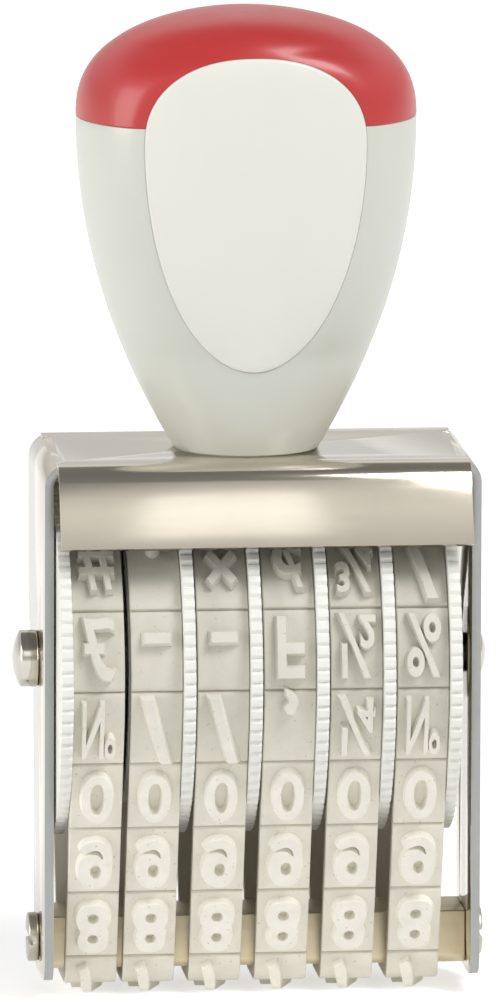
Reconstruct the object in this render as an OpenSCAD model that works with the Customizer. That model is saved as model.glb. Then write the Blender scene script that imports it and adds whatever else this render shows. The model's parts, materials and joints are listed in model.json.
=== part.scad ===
// Hand numbering machine: a grip on a sheet-metal frame, with six rubber number bands that
// run over six thumb wheels and under a printing anvil. Millimetres, +Z up, front towards -Y.
// The origin is on the table, under the middle of the frame. The machine stands on its bands.

/* [Frame] */
// Width over the outer faces of the two cheeks
frame_w = 38.1; // [37.8:0.1:44]
// Depth of the flat top plate and of the cheeks under it
frame_d = 18.6; // [15:0.2:24]
// Thickness of the sheet
sheet = 0.8; // [0.5:0.1:1.2]
// Outer radius of the bend between top plate and cheek
cheek_bend_r = 2; // [1.4:0.1:3]
// Outer radius of the bend between top plate and apron
apron_bend_r = 2.2; // [1.4:0.1:3]
// Height of an apron below the top face
apron_h = 6.8; // [4.5:0.1:8]
// How far the aprons splay out from upright, in degrees
apron_splay = 22; // [15:1:35]
// Slit between an apron's ends and the cheeks
apron_slit = 0.3; // [0.1:0.05:0.6]
// Room between the thumb discs and the top plate
head_room = 2.3; // [2.1:0.1:4]
// How far the rear edge of a cheek is cut back below the axle
cheek_notch = 4.8; // [2:0.1:6]
// How much the cheeks narrow at the front towards their lower end
cheek_taper = 1.3; // [0:0.1:2]
// How much they narrow at the rear between the cut-back and their lower end
cheek_rear_taper = 0.6; // [0:0.1:1.5]
// Height of the slope that leads into the cut-back, half above and half below the axle
cheek_slope_h = 6; // [3:0.5:10]
// Radius of the curves at either end of that slope
cheek_curve_r = 3; // [1:0.1:4]
// Height of the cheeks' lower ends above the table
cheek_foot = 1.7; // [1:0.1:2.5]
// Corner radius of the cheeks' lower ends
foot_r = 2.2; // [1:0.1:3]

/* [Thumb wheels] */
// Radius of a serrated thumb disc over its teeth
disc_r = 15.4; // [15.2:0.1:17]
// Thickness of a thumb disc
disc_t = 1; // [0.8:0.05:1.1]
// Number of teeth round a thumb disc
tooth_count = 88; // [40:4:120]
// Depth of the teeth
tooth_depth = 0.3; // [0.2:0.05:0.6]
// Radius of the drum that carries the band
drum_r = 12.72; // [11.5:0.02:13]
// Wall of the drum
drum_wall = 1.3; // [0.8:0.1:2]
// Radius of the boss round the axle
boss_r = 3.4; // [2.8:0.1:5]
// Number of ribs between boss and drum
rib_count = 6; // [4:1:10]
// Thickness of a rib
rib_t = 0.9; // [0.6:0.1:1.5]
// How far the ribs stand back from the open side of the drum
rib_setback = 0.8; // [0.3:0.1:2]
// Running gap between one wheel and the next
wheel_gap = 0.2; // [0.1:0.05:0.3]
// Gap between the first wheel and the second, which turn drum to drum
first_gap = 0.45; // [0.2:0.05:0.6]
// Gap between the first disc and the left cheek
end_gap = 0.2; // [0.1:0.05:0.3]
// How much of a tooth's pitch its flat crest takes
tooth_crest = 0.5; // [0.2:0.05:0.6]

/* [Bands] */
// Thickness of the band without its characters
band_t = 1.3; // [0.9:0.05:1.5]
// Height of the characters above the band
type_relief = 0.85; // [0.5:0.05:1]
// Number of characters on a band
type_count = 16; // [12:1:18]
// Width of a character's pad
type_w = 3.5; // [2.4:0.1:3.8]
// Free stretch between one character's pad and the next
type_gap = 1.3; // [0.8:0.1:2.5]
// How far the set characters stand forward of the middle of the anvil
type_shift = 1.9; // [0:0.1:2.2]
// Width of the groove between two characters
groove_w = 0.4; // [0.2:0.05:0.8]
// Depth of the groove between two characters
groove_depth = 0.3; // [0.1:0.05:0.5]
// Side play of a band between the discs
band_play = 0.05; // [0.02:0.01:0.1]
// Clearance between the band's back and the drum
drum_fit = 0.08; // [0.05:0.01:0.1]

/* [Anvil] */
// Height of the axle above the anvil's underside
axle_drop = 27.05; // [26:0.05:30]
// Depth of the anvil, front to back
anvil_d = 7.2; // [5:0.1:8]
// Height of the anvil
anvil_h = 4.7; // [4.4:0.1:6]
// Radius of the two lower edges that the bands run round
anvil_r = 1; // [0.6:0.1:1.5]
// Radius of an anvil screw's shank
anvil_screw_r = 1.25; // [1:0.05:1.5]
// Radius of an anvil screw's head
anvil_head_r = 2.15; // [1.8:0.05:2.2]
// Height of an anvil screw's head
anvil_head_h = 0.9; // [0.6:0.1:1.4]
// How deep an anvil screw goes into the anvil
anvil_screw_reach = 5; // [3:0.5:8]
// How much deeper than the screw its hole is
anvil_hole_spare = 0.5; // [0.2:0.1:2]
// Width of the screwdriver slot in an anvil screw
anvil_slot_w = 0.6; // [0.4:0.05:1]

/* [Axle] */
// Radius of the axle
axle_r = 1.75; // [1.25:0.05:2]
// Radius of the axle's head on the left
axle_head_r = 2.5; // [2.3:0.1:3.5]
// Length of the axle's head
axle_head_l = 2.2; // [1.4:0.1:3]
// Radius of the riveted end on the right
rivet_r = 2.1; // [2.1:0.1:3]
// Length of the riveted end
rivet_l = 1.3; // [0.8:0.1:2]
// Running clearance of a wheel on the axle
axle_fit = 0.05; // [0.02:0.01:0.1]
// Thickness of the washer that takes up the end play
washer_t = 1; // [0.4:0.1:1.4]
// Gap on either side of that washer
washer_gap = 0.225; // [0.1:0.025:0.3]
// Outer radius of that washer
washer_r = 4; // [3:0.1:6]

/* [Grip] */
// How far the grip stands to the right of the frame's middle, over the middle of the bands
grip_x = -0.7; // [-1.5:0.1:1.5]
// Height of the grip above the frame
grip_h = 38.5; // [32:0.5:50]
// Width of the grip at its widest
grip_w = 29.7; // [24:0.1:36]
// Depth of the grip at its deepest
grip_d = 20.6; // [16:0.1:26]
// Radius of the round neck where it stands on the frame
neck_r = 6.3; // [5.5:0.1:8]
// Height of the widest place above the frame
waist_h = 29.5; // [24.5:0.5:31]
// Height of the seam under the cap
seam_h = 29.3; // [26:0.1:31]
// How far below the grip's top the front and rear faces start to roll over
brow_drop = 6.5; // [4:0.5:9]
// How far the flattened front face reaches beyond the label plate
face_margin = 1.3; // [0.5:0.1:2]
// Radius of the cap's spigot
spigot_r = 5; // [3:0.1:6]
// Length of the cap's spigot
spigot_l = 3; // [2:0.1:5]
// Clearance round the spigot
spigot_fit = 0.05; // [0.02:0.01:0.1]
// Half the width of the label plate
label_half_w = 9.6; // [6:0.1:11]
// Height of the label plate's widest place above the frame
label_mid_h = 27.9; // [22:0.1:29]
// Height of the label plate above its widest place
label_rise = 7.4; // [4:0.1:7.6]
// Height of the label plate below its widest place
label_drop = 20.2; // [10:0.1:21]
// Thickness of the label plate
label_t = 0.9; // [0.6:0.05:1.5]
// How far the label plate stands proud of the grip
label_proud = 0.25; // [0:0.05:0.5]
// Clearance round the label plate
label_fit = 0.08; // [0.05:0.01:0.2]

/* [Grip screw] */
// Radius of the grip screw
grip_screw_r = 2; // [1.5:0.1:2.5]
// Length of the grip screw under its head
grip_screw_l = 16; // [8:1:24]
// Radius of the grip screw's head
grip_head_r = 3.4; // [3:0.1:4]
// Height of the grip screw's head
grip_head_h = 1.2; // [1:0.1:1.3]
// Thickness of the washer under the head
grip_washer_t = 0.4; // [0.3:0.05:0.5]
// How far that washer shows round the head
grip_washer_rim = 0.4; // [0.1:0.1:1]
// Width of the screwdriver slot in the grip screw
grip_slot_w = 0.8; // [0.6:0.05:1.2]
// Room at the end of the grip screw, in its hole
grip_hole_spare = 1; // [0.5:0.1:3]
// Radial room of the screws in their holes
screw_fit = 0.03; // [0.02:0.01:0.1]

/* [Hidden] */

$fn = 96;
cut = 1;   // how far a cutter runs past the face it opens
lap = 0.1; // how far two shapes of one piece run into each other

// The row of wheels, left to right. The six drums share the width that the cheeks, the discs,
// the washer and the gaps leave, so the row follows the frame's width.
wheel_count = 6;
inner_w = frame_w - 2 * sheet;
gaps_w = end_gap + first_gap + (wheel_count - 2) * wheel_gap + 2 * washer_gap;
drum_w = (inner_w - gaps_w - washer_t - wheel_count * disc_t) / wheel_count;
band_w = drum_w - 2 * band_play;
stack_x = -inner_w / 2 + end_gap;
drum_1_x = stack_x + disc_t;
drum_2_x = drum_1_x + drum_w + first_gap;
wheel_pitch = drum_w + disc_t + wheel_gap;
washer_x = inner_w / 2 - washer_gap - washer_t;

// Heights above the table. The top plate clears the discs or the characters, whichever reach higher.
loop_r = drum_r + drum_fit;
row_r = max(disc_r, loop_r + band_t + type_relief);
anvil_z = band_t + type_relief;
axle_z = anvil_z + axle_drop;
frame_top = axle_z + row_r + head_room + sheet;
anvil_screw_z = anvil_z + anvil_h / 2;

// The band's loop, seen from the side: round the drum, down to the anvil and under it
edge_y = anvil_d / 2 - anvil_r;
edge_z = anvil_z + anvil_r;
span = norm([edge_y, axle_z - edge_z]);
lean = asin((loop_r - anvil_r) / span) - atan2(edge_y, axle_z - edge_z);
edge_arc = anvil_r * (90 - lean) * PI / 180;
run_len = sqrt(pow(span, 2) - pow(loop_r - anvil_r, 2));
half_loop = edge_y + edge_arc + run_len + loop_r * (90 + lean) * PI / 180;
type_pitch = 2 * half_loop / type_count;

// Left edge of each drum
function drum_x(i) = i == 0 ? drum_1_x : drum_2_x + (i - 1) * wheel_pitch;

function polar(r, a) = [r * cos(a), r * sin(a)];

// Points round the corner b of the line a-b-c with radius r, or b itself without one
function corner(a, b, c, r, steps = 8) =
    let (u = (a - b) / norm(a - b),
        v = (c - b) / norm(c - b),
        half = acos(u * v) / 2,
        centre = b + (u + v) / norm(u + v) * r / sin(half),
        from = b + u * r / tan(half) - centre,
        to = b + v * r / tan(half) - centre,
        start = atan2(from[1], from[0]),
        raw = atan2(to[1], to[0]) - start,
        turn = raw > 180 ? raw - 360 : raw < -180 ? raw + 360 : raw)
    r == 0 ? [b] : [for (i = [0:steps]) centre + polar(r, start + turn * i / steps)];

// Outline through points [x, y, radius], each corner rounded by its radius
function rounded(p) = let (n = len(p), at = [for (q = p) [q[0], q[1]]])
    [for (i = [0:n - 1]) each corner(at[(i + n - 1) % n], at[i], at[(i + 1) % n], p[i][2])];

// Lays a side-view shape out along X, from x for a width w
module along_x(x, w) {
    translate([x, 0, 0]) rotate([90, 0, 90]) linear_extrude(w) children();
}

// A round bar along X, from x for a length l, at height z
module bar_x(x, l, r, z) {
    translate([x, 0, z]) rotate([0, 90, 0]) cylinder(h = l, r = r);
}

// ---- Frame ----

// Front view of the top plate and the two cheeks
module bracket_section() {
    foot = cheek_foot;
    outer = frame_w / 2;
    inner = inner_w / 2;
    inner_r = cheek_bend_r - sheet;
    polygon(rounded([
        [-outer, foot, 0], [-outer, frame_top, cheek_bend_r],
        [outer, frame_top, cheek_bend_r], [outer, foot, 0],
        [inner, foot, 0], [inner, frame_top - sheet, inner_r],
        [-inner, frame_top - sheet, inner_r], [-inner, foot, 0]]));
}

// Side view of a cheek: full depth at the top, cut back at the rear below the axle
module cheek_side() {
    y = frame_d / 2;
    polygon(rounded([
        [-y, frame_top + cut, 0], [y, frame_top + cut, 0],
        [y, axle_z + cheek_slope_h / 2, cheek_curve_r],
        [y - cheek_notch, axle_z - cheek_slope_h / 2, cheek_curve_r],
        [y - cheek_notch - cheek_rear_taper, cheek_foot, foot_r],
        [-y + cheek_taper, cheek_foot, foot_r]]));
}

// Side view of the sheet from the middle of the top plate to the lower edge of the front apron
module apron_side() {
    foot_z = frame_top - apron_h;
    bend_y = frame_d / 2 + apron_bend_r * tan((90 - apron_splay) / 2);
    foot_y = bend_y + apron_h * tan(apron_splay);
    step = [sheet * cos(apron_splay), sheet * sin(apron_splay)];
    inner_y = bend_y - sheet * tan((90 - apron_splay) / 2);
    flat_y = frame_d / 2 - cheek_bend_r;
    polygon(rounded([
        [-flat_y, frame_top, 0], [-flat_y, frame_top - sheet, 0],
        [-inner_y, frame_top - sheet, apron_bend_r - sheet],
        [-foot_y + step[0], foot_z - step[1], 0], [-foot_y, foot_z, 0],
        [-bend_y, frame_top, apron_bend_r]]));
}

module frame_bracket() {
    apron_w = inner_w - 2 * apron_slit;
    color([0.85, 0.84, 0.8]) difference() {
        union() {
            intersection() {
                translate([0, frame_d / 2, 0]) rotate([90, 0, 0])
                    linear_extrude(frame_d) bracket_section();
                along_x(-frame_w / 2 - cut, frame_w + 2 * cut) cheek_side();
            }
            for (side = [0, 1]) mirror([0, side, 0]) along_x(-apron_w / 2, apron_w) apron_side();
        }
        translate([grip_x, 0, frame_top - sheet - cut])
            cylinder(h = sheet + 2 * cut, r = grip_screw_r + screw_fit);
        bar_x(-frame_w / 2 - cut, frame_w + 2 * cut, axle_r + screw_fit, axle_z);
        bar_x(-frame_w / 2 - cut, frame_w + 2 * cut, anvil_screw_r + screw_fit, anvil_screw_z);
    }
}

// ---- Grip ----

swell = 2.1;     // how fast the grip swells from neck to waist
crown = 2.3;     // roundness of the grip's top, seen from the front
brow = 3.2;      // how tightly the front and rear faces roll over the top
face_from = 62;  // where round the section a flattened face starts, in degrees from the side
flat_limit = 0.7; // the most of the grip's width that a flattened face takes
label_fullness = 2.25; // how far the label plate's arch departs from an ellipse
grip_sides = 48;
body_rings = 16;
cap_rings = 9;
crown_end = 87;  // where the cap's last ring lies on its arch, in degrees
label_sides = 60;

// Half the grip's width or depth at height h: it swells up to the waist and closes above `from`
function grip_half(h, widest, from, n) = h < waist_h
    ? widest - (widest - neck_r) * pow((waist_h - h) / waist_h, swell)
    : h < from ? widest : widest * pow(1 - pow((h - from) / (grip_h - from), n), 1 / n);

// Half the width of the flattened face at height h: the label plate's outline, a little larger
function face_half(h) =
    let (up = h > label_mid_h,
        n = up ? label_fullness : 2,
        t = abs(h - label_mid_h) / ((up ? label_rise : label_drop) + face_margin))
    t < 1 ? (label_half_w + face_margin) * pow(1 - pow(t, n), 1 / n) : 0;

// Place across a flattened face at angle a from the side: 1 at its edge, 0 in its middle
function across(a) = let (q = asin(abs(sin(a))))
    q < face_from ? 1 : 1 - pow((q - face_from) / (90 - face_from), 2);

// Section of the grip at height h above the frame, grown outwards by g: an ellipse whose front
// and rear are stretched into flattened faces
function grip_ring(h, g) =
    let (w = grip_half(h, grip_w / 2, waist_h, crown) + g,
        d = grip_half(h, grip_d / 2, max(waist_h, grip_h - brow_drop), brow) + g,
        wide = (face_half(h) - w * cos(face_from)) / (1 - cos(face_from)),
        flat = min(flat_limit * w, max(0, wide)))
    [for (i = [0:grip_sides - 1]) let (a = 360 * i / grip_sides)
        [(w - flat) * cos(a) + flat * sign(cos(a)) * across(a), d * sin(a), h]];

function body_heights() = [for (i = [0:body_rings]) seam_h * i / body_rings];
function cap_heights() = [for (i = [0:cap_rings])
    seam_h + (grip_h - seam_h) * sin(crown_end * i / cap_rings)];

// Solid through a stack of sections
module loft(rings) {
    n = len(rings[0]);
    last = len(rings) - 1;
    polyhedron(
        points = [for (r = rings) each r],
        faces = concat(
            [[for (i = [0:n - 1]) i]],
            [for (k = [0:last - 1], i = [0:n - 1]) let (j = (i + 1) % n)
                each [[k * n + i, (k + 1) * n + i, (k + 1) * n + j],
                    [k * n + i, (k + 1) * n + j, k * n + j]]],
            [[for (i = [n - 1:-1:0]) last * n + i]]));
}

module whole_grip(g) {
    heights = concat(body_heights(), [for (h = cap_heights()) if (h > seam_h) h]);
    loft([for (h = heights) grip_ring(h, g)]);
}

function bulge(v, n) = sign(v) * pow(abs(v), 2 / n);

// Front view of the label plate: a low, full arch above its widest place, a long oval below
function label_outline(g) = [for (i = [0:label_sides - 1])
    let (a = 360 * i / label_sides, up = sin(a) > 0, n = up ? label_fullness : 2)
    [(label_half_w + g) * bulge(cos(a), n),
        label_mid_h + ((up ? label_rise : label_drop) + g) * bulge(sin(a), n)]];

module label_prism(g) {
    rotate([90, 0, 0]) linear_extrude(grip_d) polygon(label_outline(g));
}

module label_seat() {
    difference() {
        label_prism(label_fit);
        whole_grip(label_proud - label_t);
    }
}

module handle_body() {
    color([0.84, 0.84, 0.8]) translate([grip_x, 0, frame_top]) difference() {
        loft([for (h = body_heights()) grip_ring(h, 0)]);
        label_seat();
        translate([0, 0, -cut])
            cylinder(h = cut + grip_screw_l - sheet - grip_washer_t + grip_hole_spare,
                r = grip_screw_r + screw_fit);
        translate([0, 0, seam_h - spigot_l - spigot_fit])
            cylinder(h = spigot_l + cut, r = spigot_r + spigot_fit);
    }
}

module handle_cap() {
    color([0.82, 0.2, 0.2]) translate([grip_x, 0, frame_top]) {
        difference() {
            loft([for (h = cap_heights()) grip_ring(h, 0)]);
            label_seat();
        }
        translate([0, 0, seam_h - spigot_l]) cylinder(h = spigot_l + cut, r = spigot_r);
    }
}

module front_label_plate() {
    color([0.9, 0.89, 0.85]) translate([grip_x, 0, frame_top]) difference() {
        intersection() {
            label_prism(0);
            whole_grip(label_proud);
        }
        whole_grip(label_proud - label_t);
    }
}

module handle_screw() {
    seat = frame_top - sheet - grip_washer_t;
    color([0.6, 0.6, 0.6]) translate([grip_x, 0, seat]) {
        cylinder(h = grip_screw_l, r = grip_screw_r);
        difference() {
            translate([0, 0, -grip_head_h]) cylinder(h = grip_head_h, r = grip_head_r);
            translate([-grip_head_r - cut, -grip_slot_w / 2, -grip_head_h - cut])
                cube([2 * (grip_head_r + cut), grip_slot_w, grip_head_h / 2 + cut]);
        }
    }
}

module handle_washer() {
    color([0.5, 0.5, 0.5]) translate([grip_x, 0, frame_top - sheet - grip_washer_t]) difference() {
        cylinder(h = grip_washer_t, r = grip_head_r + grip_washer_rim);
        translate([0, 0, -cut]) cylinder(h = grip_washer_t + 2 * cut, r = grip_screw_r + screw_fit);
    }
}

// ---- Axle and anvil ----

// Half profile of a round head with a crowned end, r in radius, from height y to y + l
module crowned_profile(r, y, l) {
    crown_r = 2 * r;
    intersection() {
        translate([0, y]) square([r, l]);
        translate([0, y + l - crown_r]) circle(r = crown_r);
    }
}

module wheel_axle() {
    color([0.75, 0.75, 0.75]) translate([0, 0, axle_z]) rotate([0, 90, 0]) rotate_extrude() {
        translate([0, -frame_w / 2]) square([axle_r, frame_w]);
        mirror([0, 1]) crowned_profile(axle_head_r, frame_w / 2, axle_head_l);
        crowned_profile(rivet_r, frame_w / 2, rivet_l);
    }
}

module axle_washer() {
    color([0.6, 0.6, 0.6]) difference() {
        bar_x(washer_x, washer_t, washer_r, axle_z);
        bar_x(washer_x - cut, washer_t + 2 * cut, axle_r + axle_fit, axle_z);
    }
}

// Side view of the anvil: square above, rounded where the bands turn
module anvil_side() {
    translate([-anvil_d / 2, edge_z]) square([anvil_d, anvil_h - anvil_r]);
    translate([-edge_y, anvil_z]) square([2 * edge_y, anvil_r + lap]);
    for (side = [-1, 1]) translate([side * edge_y, edge_z]) circle(r = anvil_r);
}

module printing_anvil() {
    color([0.72, 0.68, 0.55]) difference() {
        along_x(-inner_w / 2, inner_w) anvil_side();
        for (side = [0, 1]) mirror([side, 0, 0])
            bar_x(inner_w / 2 - anvil_screw_reach - anvil_hole_spare,
                anvil_screw_reach + anvil_hole_spare + cut, anvil_screw_r + screw_fit, anvil_screw_z);
    }
}

module anvil_screw() {
    difference() {
        bar_x(frame_w / 2, anvil_head_h, anvil_head_r, anvil_screw_z);
        translate([frame_w / 2 + anvil_head_h / 2, -anvil_head_r - cut, anvil_screw_z - anvil_slot_w / 2])
            cube([anvil_head_h, 2 * (anvil_head_r + cut), anvil_slot_w]);
    }
    bar_x(inner_w / 2 - anvil_screw_reach, anvil_screw_reach + sheet, anvil_screw_r, anvil_screw_z);
}

module anvil_screw_left() {
    color([0.7, 0.7, 0.68]) mirror([1, 0, 0]) anvil_screw();
}

module anvil_screw_right() {
    color([0.7, 0.7, 0.68]) anvil_screw();
}

// ---- Thumb wheels ----

// Serrated outline: each tooth has a flat crest and a sloping flank on either side
module disc_side() {
    step = 360 / tooth_count;
    polygon([for (i = [0:tooth_count - 1]) each [
        polar(disc_r - tooth_depth, i * step),
        polar(disc_r, (i + (1 - tooth_crest) / 2) * step),
        polar(disc_r, (i + (1 + tooth_crest) / 2) * step)]]);
}

// A wheel with its disc behind the drum: the drum starts at x = 0 and runs to +X
module wheel() {
    bore_r = axle_r + axle_fit;
    difference() {
        union() {
            translate([0, 0, axle_z]) {
                along_x(drum_w, disc_t) disc_side();
                along_x(0, drum_w) difference() {
                    circle(r = drum_r);
                    circle(r = drum_r - drum_wall);
                }
                along_x(0, drum_w) circle(r = boss_r);
                along_x(rib_setback, drum_w - rib_setback) for (i = [0:rib_count - 1])
                    rotate(i * 360 / rib_count) translate([boss_r - rib_t, -rib_t / 2])
                        square([drum_r - drum_wall / 2 - boss_r + rib_t, rib_t]);
            }
        }
        bar_x(-cut, drum_w + disc_t + 2 * cut, bore_r, axle_z);
    }
}

module thumb_wheel(i) {
    color([0.94, 0.94, 0.92]) translate([drum_x(i), 0, 0])
        if (i == 0) translate([drum_w, 0, 0]) mirror([1, 0, 0]) wheel();
        else wheel();
}

module thumb_wheel_1() { thumb_wheel(0); }
module thumb_wheel_2() { thumb_wheel(1); }
module thumb_wheel_3() { thumb_wheel(2); }
module thumb_wheel_4() { thumb_wheel(3); }
module thumb_wheel_5() { thumb_wheel(4); }
module thumb_wheel_6() { thumb_wheel(5); }

// ---- Bands ----

// Side view of everything inside the band's back, grown outwards by g
module loop_side(g) {
    front = [-cos(lean), -sin(lean)];
    rear = [cos(lean), -sin(lean)];
    drum = [0, axle_z];
    translate(drum) circle(r = loop_r + g);
    for (side = [-1, 1]) translate([side * edge_y, edge_z]) circle(r = anvil_r + g);
    polygon([
        drum + front * (loop_r + g), [-edge_y, edge_z] + front * (anvil_r + g),
        [-edge_y, anvil_z - g], [edge_y, anvil_z - g],
        [edge_y, edge_z] + rear * (anvil_r + g), drum + rear * (loop_r + g)]);
}

// Place on the band's back at a distance s forward of the anvil's middle, as [y, z, direction]
function on_loop(s) = s > half_loop ? let (m = on_loop(2 * half_loop - s)) [-m[0], m[1], 180 - m[2]]
    : s < 0 ? let (m = on_loop(-s)) [-m[0], m[1], 180 - m[2]]
    : s < edge_y ? [-s, anvil_z, -90]
    : s < edge_y + edge_arc
        ? let (a = -90 - (s - edge_y) / anvil_r * 180 / PI) concat([-edge_y, edge_z] + polar(anvil_r, a), a)
    : s < edge_y + edge_arc + run_len
        ? let (a = lean - 180, t = s - edge_y - edge_arc)
            concat([-edge_y, edge_z] + polar(anvil_r, a) + polar(t, a - 90), a)
    : let (a = lean - 180 - (s - edge_y - edge_arc - run_len) / loop_r * 180 / PI)
        concat([0, axle_z] + polar(loop_r, a), a);

// Cuts at every border between two characters, w wide, from depth g1 to g2 above the band's back
module borders(w, g1, g2) {
    for (i = [0:type_count - 1]) let (p = on_loop(type_shift + (i + 0.5) * type_pitch))
        translate([p[0], p[1]]) rotate(p[2]) translate([g1, -w / 2]) square([g2 - g1, w]);
}

module number_band(i) {
    x = drum_x(i) + band_play;
    color([0.9, 0.88, 0.8]) {
        along_x(x, band_w) difference() {
            loop_side(band_t);
            loop_side(0);
            borders(groove_w, band_t - groove_depth, band_t + cut);
        }
        along_x(x + (band_w - type_w) / 2, type_w) difference() {
            loop_side(band_t + type_relief);
            loop_side(band_t - groove_depth);
            borders(type_gap, band_t - groove_depth - lap, band_t + type_relief + cut);
        }
    }
}

module number_band_1() { number_band(0); }
module number_band_2() { number_band(1); }
module number_band_3() { number_band(2); }
module number_band_4() { number_band(3); }
module number_band_5() { number_band(4); }
module number_band_6() { number_band(5); }

frame_bracket();
handle_body();
handle_cap();
front_label_plate();
handle_screw();
handle_washer();
wheel_axle();
axle_washer();
printing_anvil();
anvil_screw_left();
anvil_screw_right();
thumb_wheel_1();
thumb_wheel_2();
thumb_wheel_3();
thumb_wheel_4();
thumb_wheel_5();
thumb_wheel_6();
number_band_1();
number_band_2();
number_band_3();
number_band_4();
number_band_5();
number_band_6();
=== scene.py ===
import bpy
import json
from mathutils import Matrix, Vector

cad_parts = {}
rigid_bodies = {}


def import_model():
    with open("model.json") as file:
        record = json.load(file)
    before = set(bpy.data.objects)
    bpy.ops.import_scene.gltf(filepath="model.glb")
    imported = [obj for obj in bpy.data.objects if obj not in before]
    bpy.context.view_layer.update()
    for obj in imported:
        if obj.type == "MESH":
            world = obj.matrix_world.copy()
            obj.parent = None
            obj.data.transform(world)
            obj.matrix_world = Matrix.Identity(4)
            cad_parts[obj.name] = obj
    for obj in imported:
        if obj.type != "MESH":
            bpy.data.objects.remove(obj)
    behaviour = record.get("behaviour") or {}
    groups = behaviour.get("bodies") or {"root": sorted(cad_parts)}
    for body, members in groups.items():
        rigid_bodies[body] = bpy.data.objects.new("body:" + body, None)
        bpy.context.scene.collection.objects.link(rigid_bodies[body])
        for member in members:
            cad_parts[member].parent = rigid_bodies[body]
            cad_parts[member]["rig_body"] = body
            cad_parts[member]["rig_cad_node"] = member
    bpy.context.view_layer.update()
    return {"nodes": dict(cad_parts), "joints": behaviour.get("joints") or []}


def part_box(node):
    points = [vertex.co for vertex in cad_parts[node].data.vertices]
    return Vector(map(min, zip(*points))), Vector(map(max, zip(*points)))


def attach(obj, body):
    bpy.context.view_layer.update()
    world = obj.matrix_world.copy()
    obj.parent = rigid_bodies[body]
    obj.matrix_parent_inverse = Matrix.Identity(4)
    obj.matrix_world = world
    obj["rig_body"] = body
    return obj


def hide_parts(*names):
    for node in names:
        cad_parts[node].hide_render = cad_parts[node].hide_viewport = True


bl_info = {
    "name": "Numbering Machine",
    "version": (1, 0),
    "blender": (4, 5, 0),
    "location": "3D View > Sidebar > Numbering Machine",
    "description": "Dresses a hand numbering machine: grip, sheet frame, thumb wheels and number bands",
    "category": "Add Mesh",
}

import json
import math

import bpy
from bpy.props import FloatProperty, FloatVectorProperty, PointerProperty
from mathutils import Matrix, Vector

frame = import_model()

MM = 0.001  # the bands are modelled in millimetres and brought to metres at the end


def joint_place(name):
    for joint in frame["joints"]:
        if joint["name"] == name:
            return joint["pos_m"]
    raise ValueError("no joint named " + name)


# Sizes that come from the frame, in metres
FRAME_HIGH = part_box("frame_bracket")[1]
BODY_LOW, BODY_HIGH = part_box("handle_body")
CAP_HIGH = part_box("handle_cap")[1]
LABEL_LOW, LABEL_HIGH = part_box("front_label_plate")
ANVIL_LOW, ANVIL_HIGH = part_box("printing_anvil")
BAND_LOW, BAND_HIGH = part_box("number_band_1")
AXLE_Z = joint_place("wheel_1_turn")[2]
GRIP_X = (BODY_LOW.x + BODY_HIGH.x) / 2
GRIP_Z = FRAME_HIGH.z
SEAM_Z = BODY_HIGH.z - GRIP_Z
TOP_Z = CAP_HIGH.z - GRIP_Z
LABEL_MIDDLE = 0.0279  # the label plate's widest place, above the frame
BANDS = 6              # thumb wheels, each with its band
TYPES = 16             # characters on a band

# What stands on a band after its digits 7 8 9 0: three signs at the front and three out of sight
SIGNS = [
    ["Nº", "£", "#", "+", "=", "&"],
    ["/", "-", ".", "+", "=", "*"],
    ["/", "-", "×", "+", "=", "*"],
    [",", "F", "¢", "+", "=", "*"],
    ["¼", "½", "¾", "+", "=", "*"],
    ["Nº", "%", "/", "+", "=", "*"],
]


# ---- Settings ----

def colour(name, description, default):
    return FloatVectorProperty(name=name, description=description, default=default,
                               subtype="COLOR", size=3, min=0, max=1)


def length(name, description, default):
    return FloatProperty(name=name, description=description, default=default, unit="LENGTH",
                         subtype="DISTANCE", min=0, precision=5)


def share(name, description, default):
    return FloatProperty(name=name, description=description, default=default, subtype="FACTOR",
                         min=0, max=1)


def power(name, description, default):
    return FloatProperty(name=name, description=description, default=default, unit="POWER", min=0)


def angle(name, description, degrees):
    return FloatProperty(name=name, description=description, default=math.radians(degrees),
                         subtype="ANGLE")


class StageSettings(bpy.types.PropertyGroup):
    floor_color: colour("Floor", "Colour of the floor", (0.78, 0.78, 0.78))
    floor_glow: share("Floor glow", "How much the seen floor is lifted towards white", 0.72)
    floor_shade: share("Floor shade", "How much of that glow is left near the object", 0.72)
    floor_bounce: share("Floor bounce", "Extra light that the floor throws up at the object", 0.22)
    sky: share("Sky", "Strength of the even light from all round", 0.32)
    key: power("Key", "Power of the large lamp at the upper right", 3.0)
    fill: power("Fill", "Power of the lamp at the left", 2.4)
    panel: power("Panel", "Power of the faint panel that the metal mirrors", 0.1)
    azimuth: angle("Azimuth", "How far the camera stands to the right", -5.2)
    elevation: angle("Elevation", "How far the camera looks down", 8.9)
    distance: length("Distance", "Distance of the camera", 1.5)
    picture_height: length("Picture height", "Height that the picture takes in at the object", 0.0878)
    aim: FloatVectorProperty(name="Aim", description="Point in the middle of the picture",
                             default=(-0.00035, 0, 0.0427), subtype="TRANSLATION", size=3)


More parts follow.
